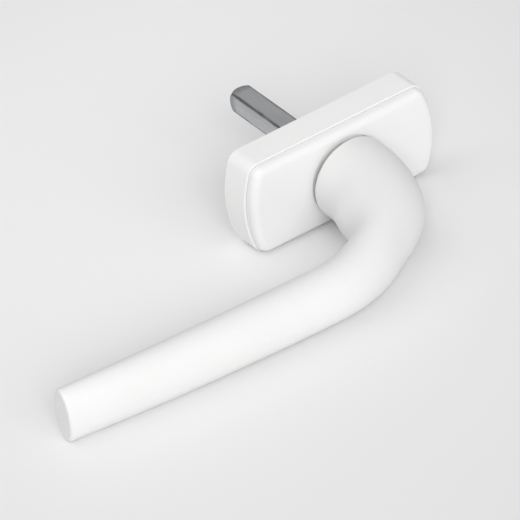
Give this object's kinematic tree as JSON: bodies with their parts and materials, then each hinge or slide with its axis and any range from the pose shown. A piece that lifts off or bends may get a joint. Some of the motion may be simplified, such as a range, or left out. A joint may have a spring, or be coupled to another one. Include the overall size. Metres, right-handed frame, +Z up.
{
  "type": "window handle",
  "caption": "White window handle with an oval arm, round neck, oblong rosette with a lift-and-turn cover plate, detent mechanism and square spindle.",
  "frame": {"origin": "on the spindle's axis, in the rosette's back face, which lies on the sash", "axes": "+Y along the spindle into the sash; the arm points along -X and the rosette's length is along X; +Z is up as the handle lies in the picture"},
  "size_m": [0.1672, 0.1089, 0.0326],
  "materials": {
    "white_coat": "satin white powder coat",
    "white_moulding": "satin white moulding",
    "zinc_steel": "zinc plated, satin",
    "spring_steel": "bright spring steel",
    "nylon": "natural nylon",
    "cam_nylon": "black glass-filled nylon"
  },
  "bodies": {
    "rosette": {"base_housing": "white_moulding", "bearing_bush": "nylon", "detent_spring_upper": "spring_steel", "detent_spring_lower": "spring_steel", "back_plate": "zinc_steel", "back_plate_screw_1": "zinc_steel", "back_plate_screw_2": "zinc_steel", "back_plate_screw_3": "zinc_steel", "back_plate_screw_4": "zinc_steel"},
    "lever_assembly": {"lever": "white_coat", "spindle": "zinc_steel", "spindle_pin": "spring_steel", "thrust_washer": "spring_steel", "detent_cam": "cam_nylon", "shim_washer": "spring_steel", "disc_spring": "spring_steel", "retaining_ring": "spring_steel"},
    "guide": {"cover_guide_ring": "nylon"},
    "cover": {"cover_plate": "white_coat"}
  },
  "joints": [
    {"name": "lever_turn", "type": "hinge", "parent": "rosette", "child": "lever_assembly", "pos_m": [0, 0, 0], "axis": [0, 1, 0], "continuous": true, "deforming": ["detent_spring_upper", "detent_spring_lower"]},
    {"name": "cover_lift", "type": "slide", "parent": "rosette", "child": "guide", "axis": [0, -1, 0], "range_m": [0, 0.0013]},
    {"name": "cover_turn", "type": "hinge", "parent": "guide", "child": "cover", "pos_m": [0, 0, 0], "axis": [0, 1, 0], "continuous": true}
  ]
}
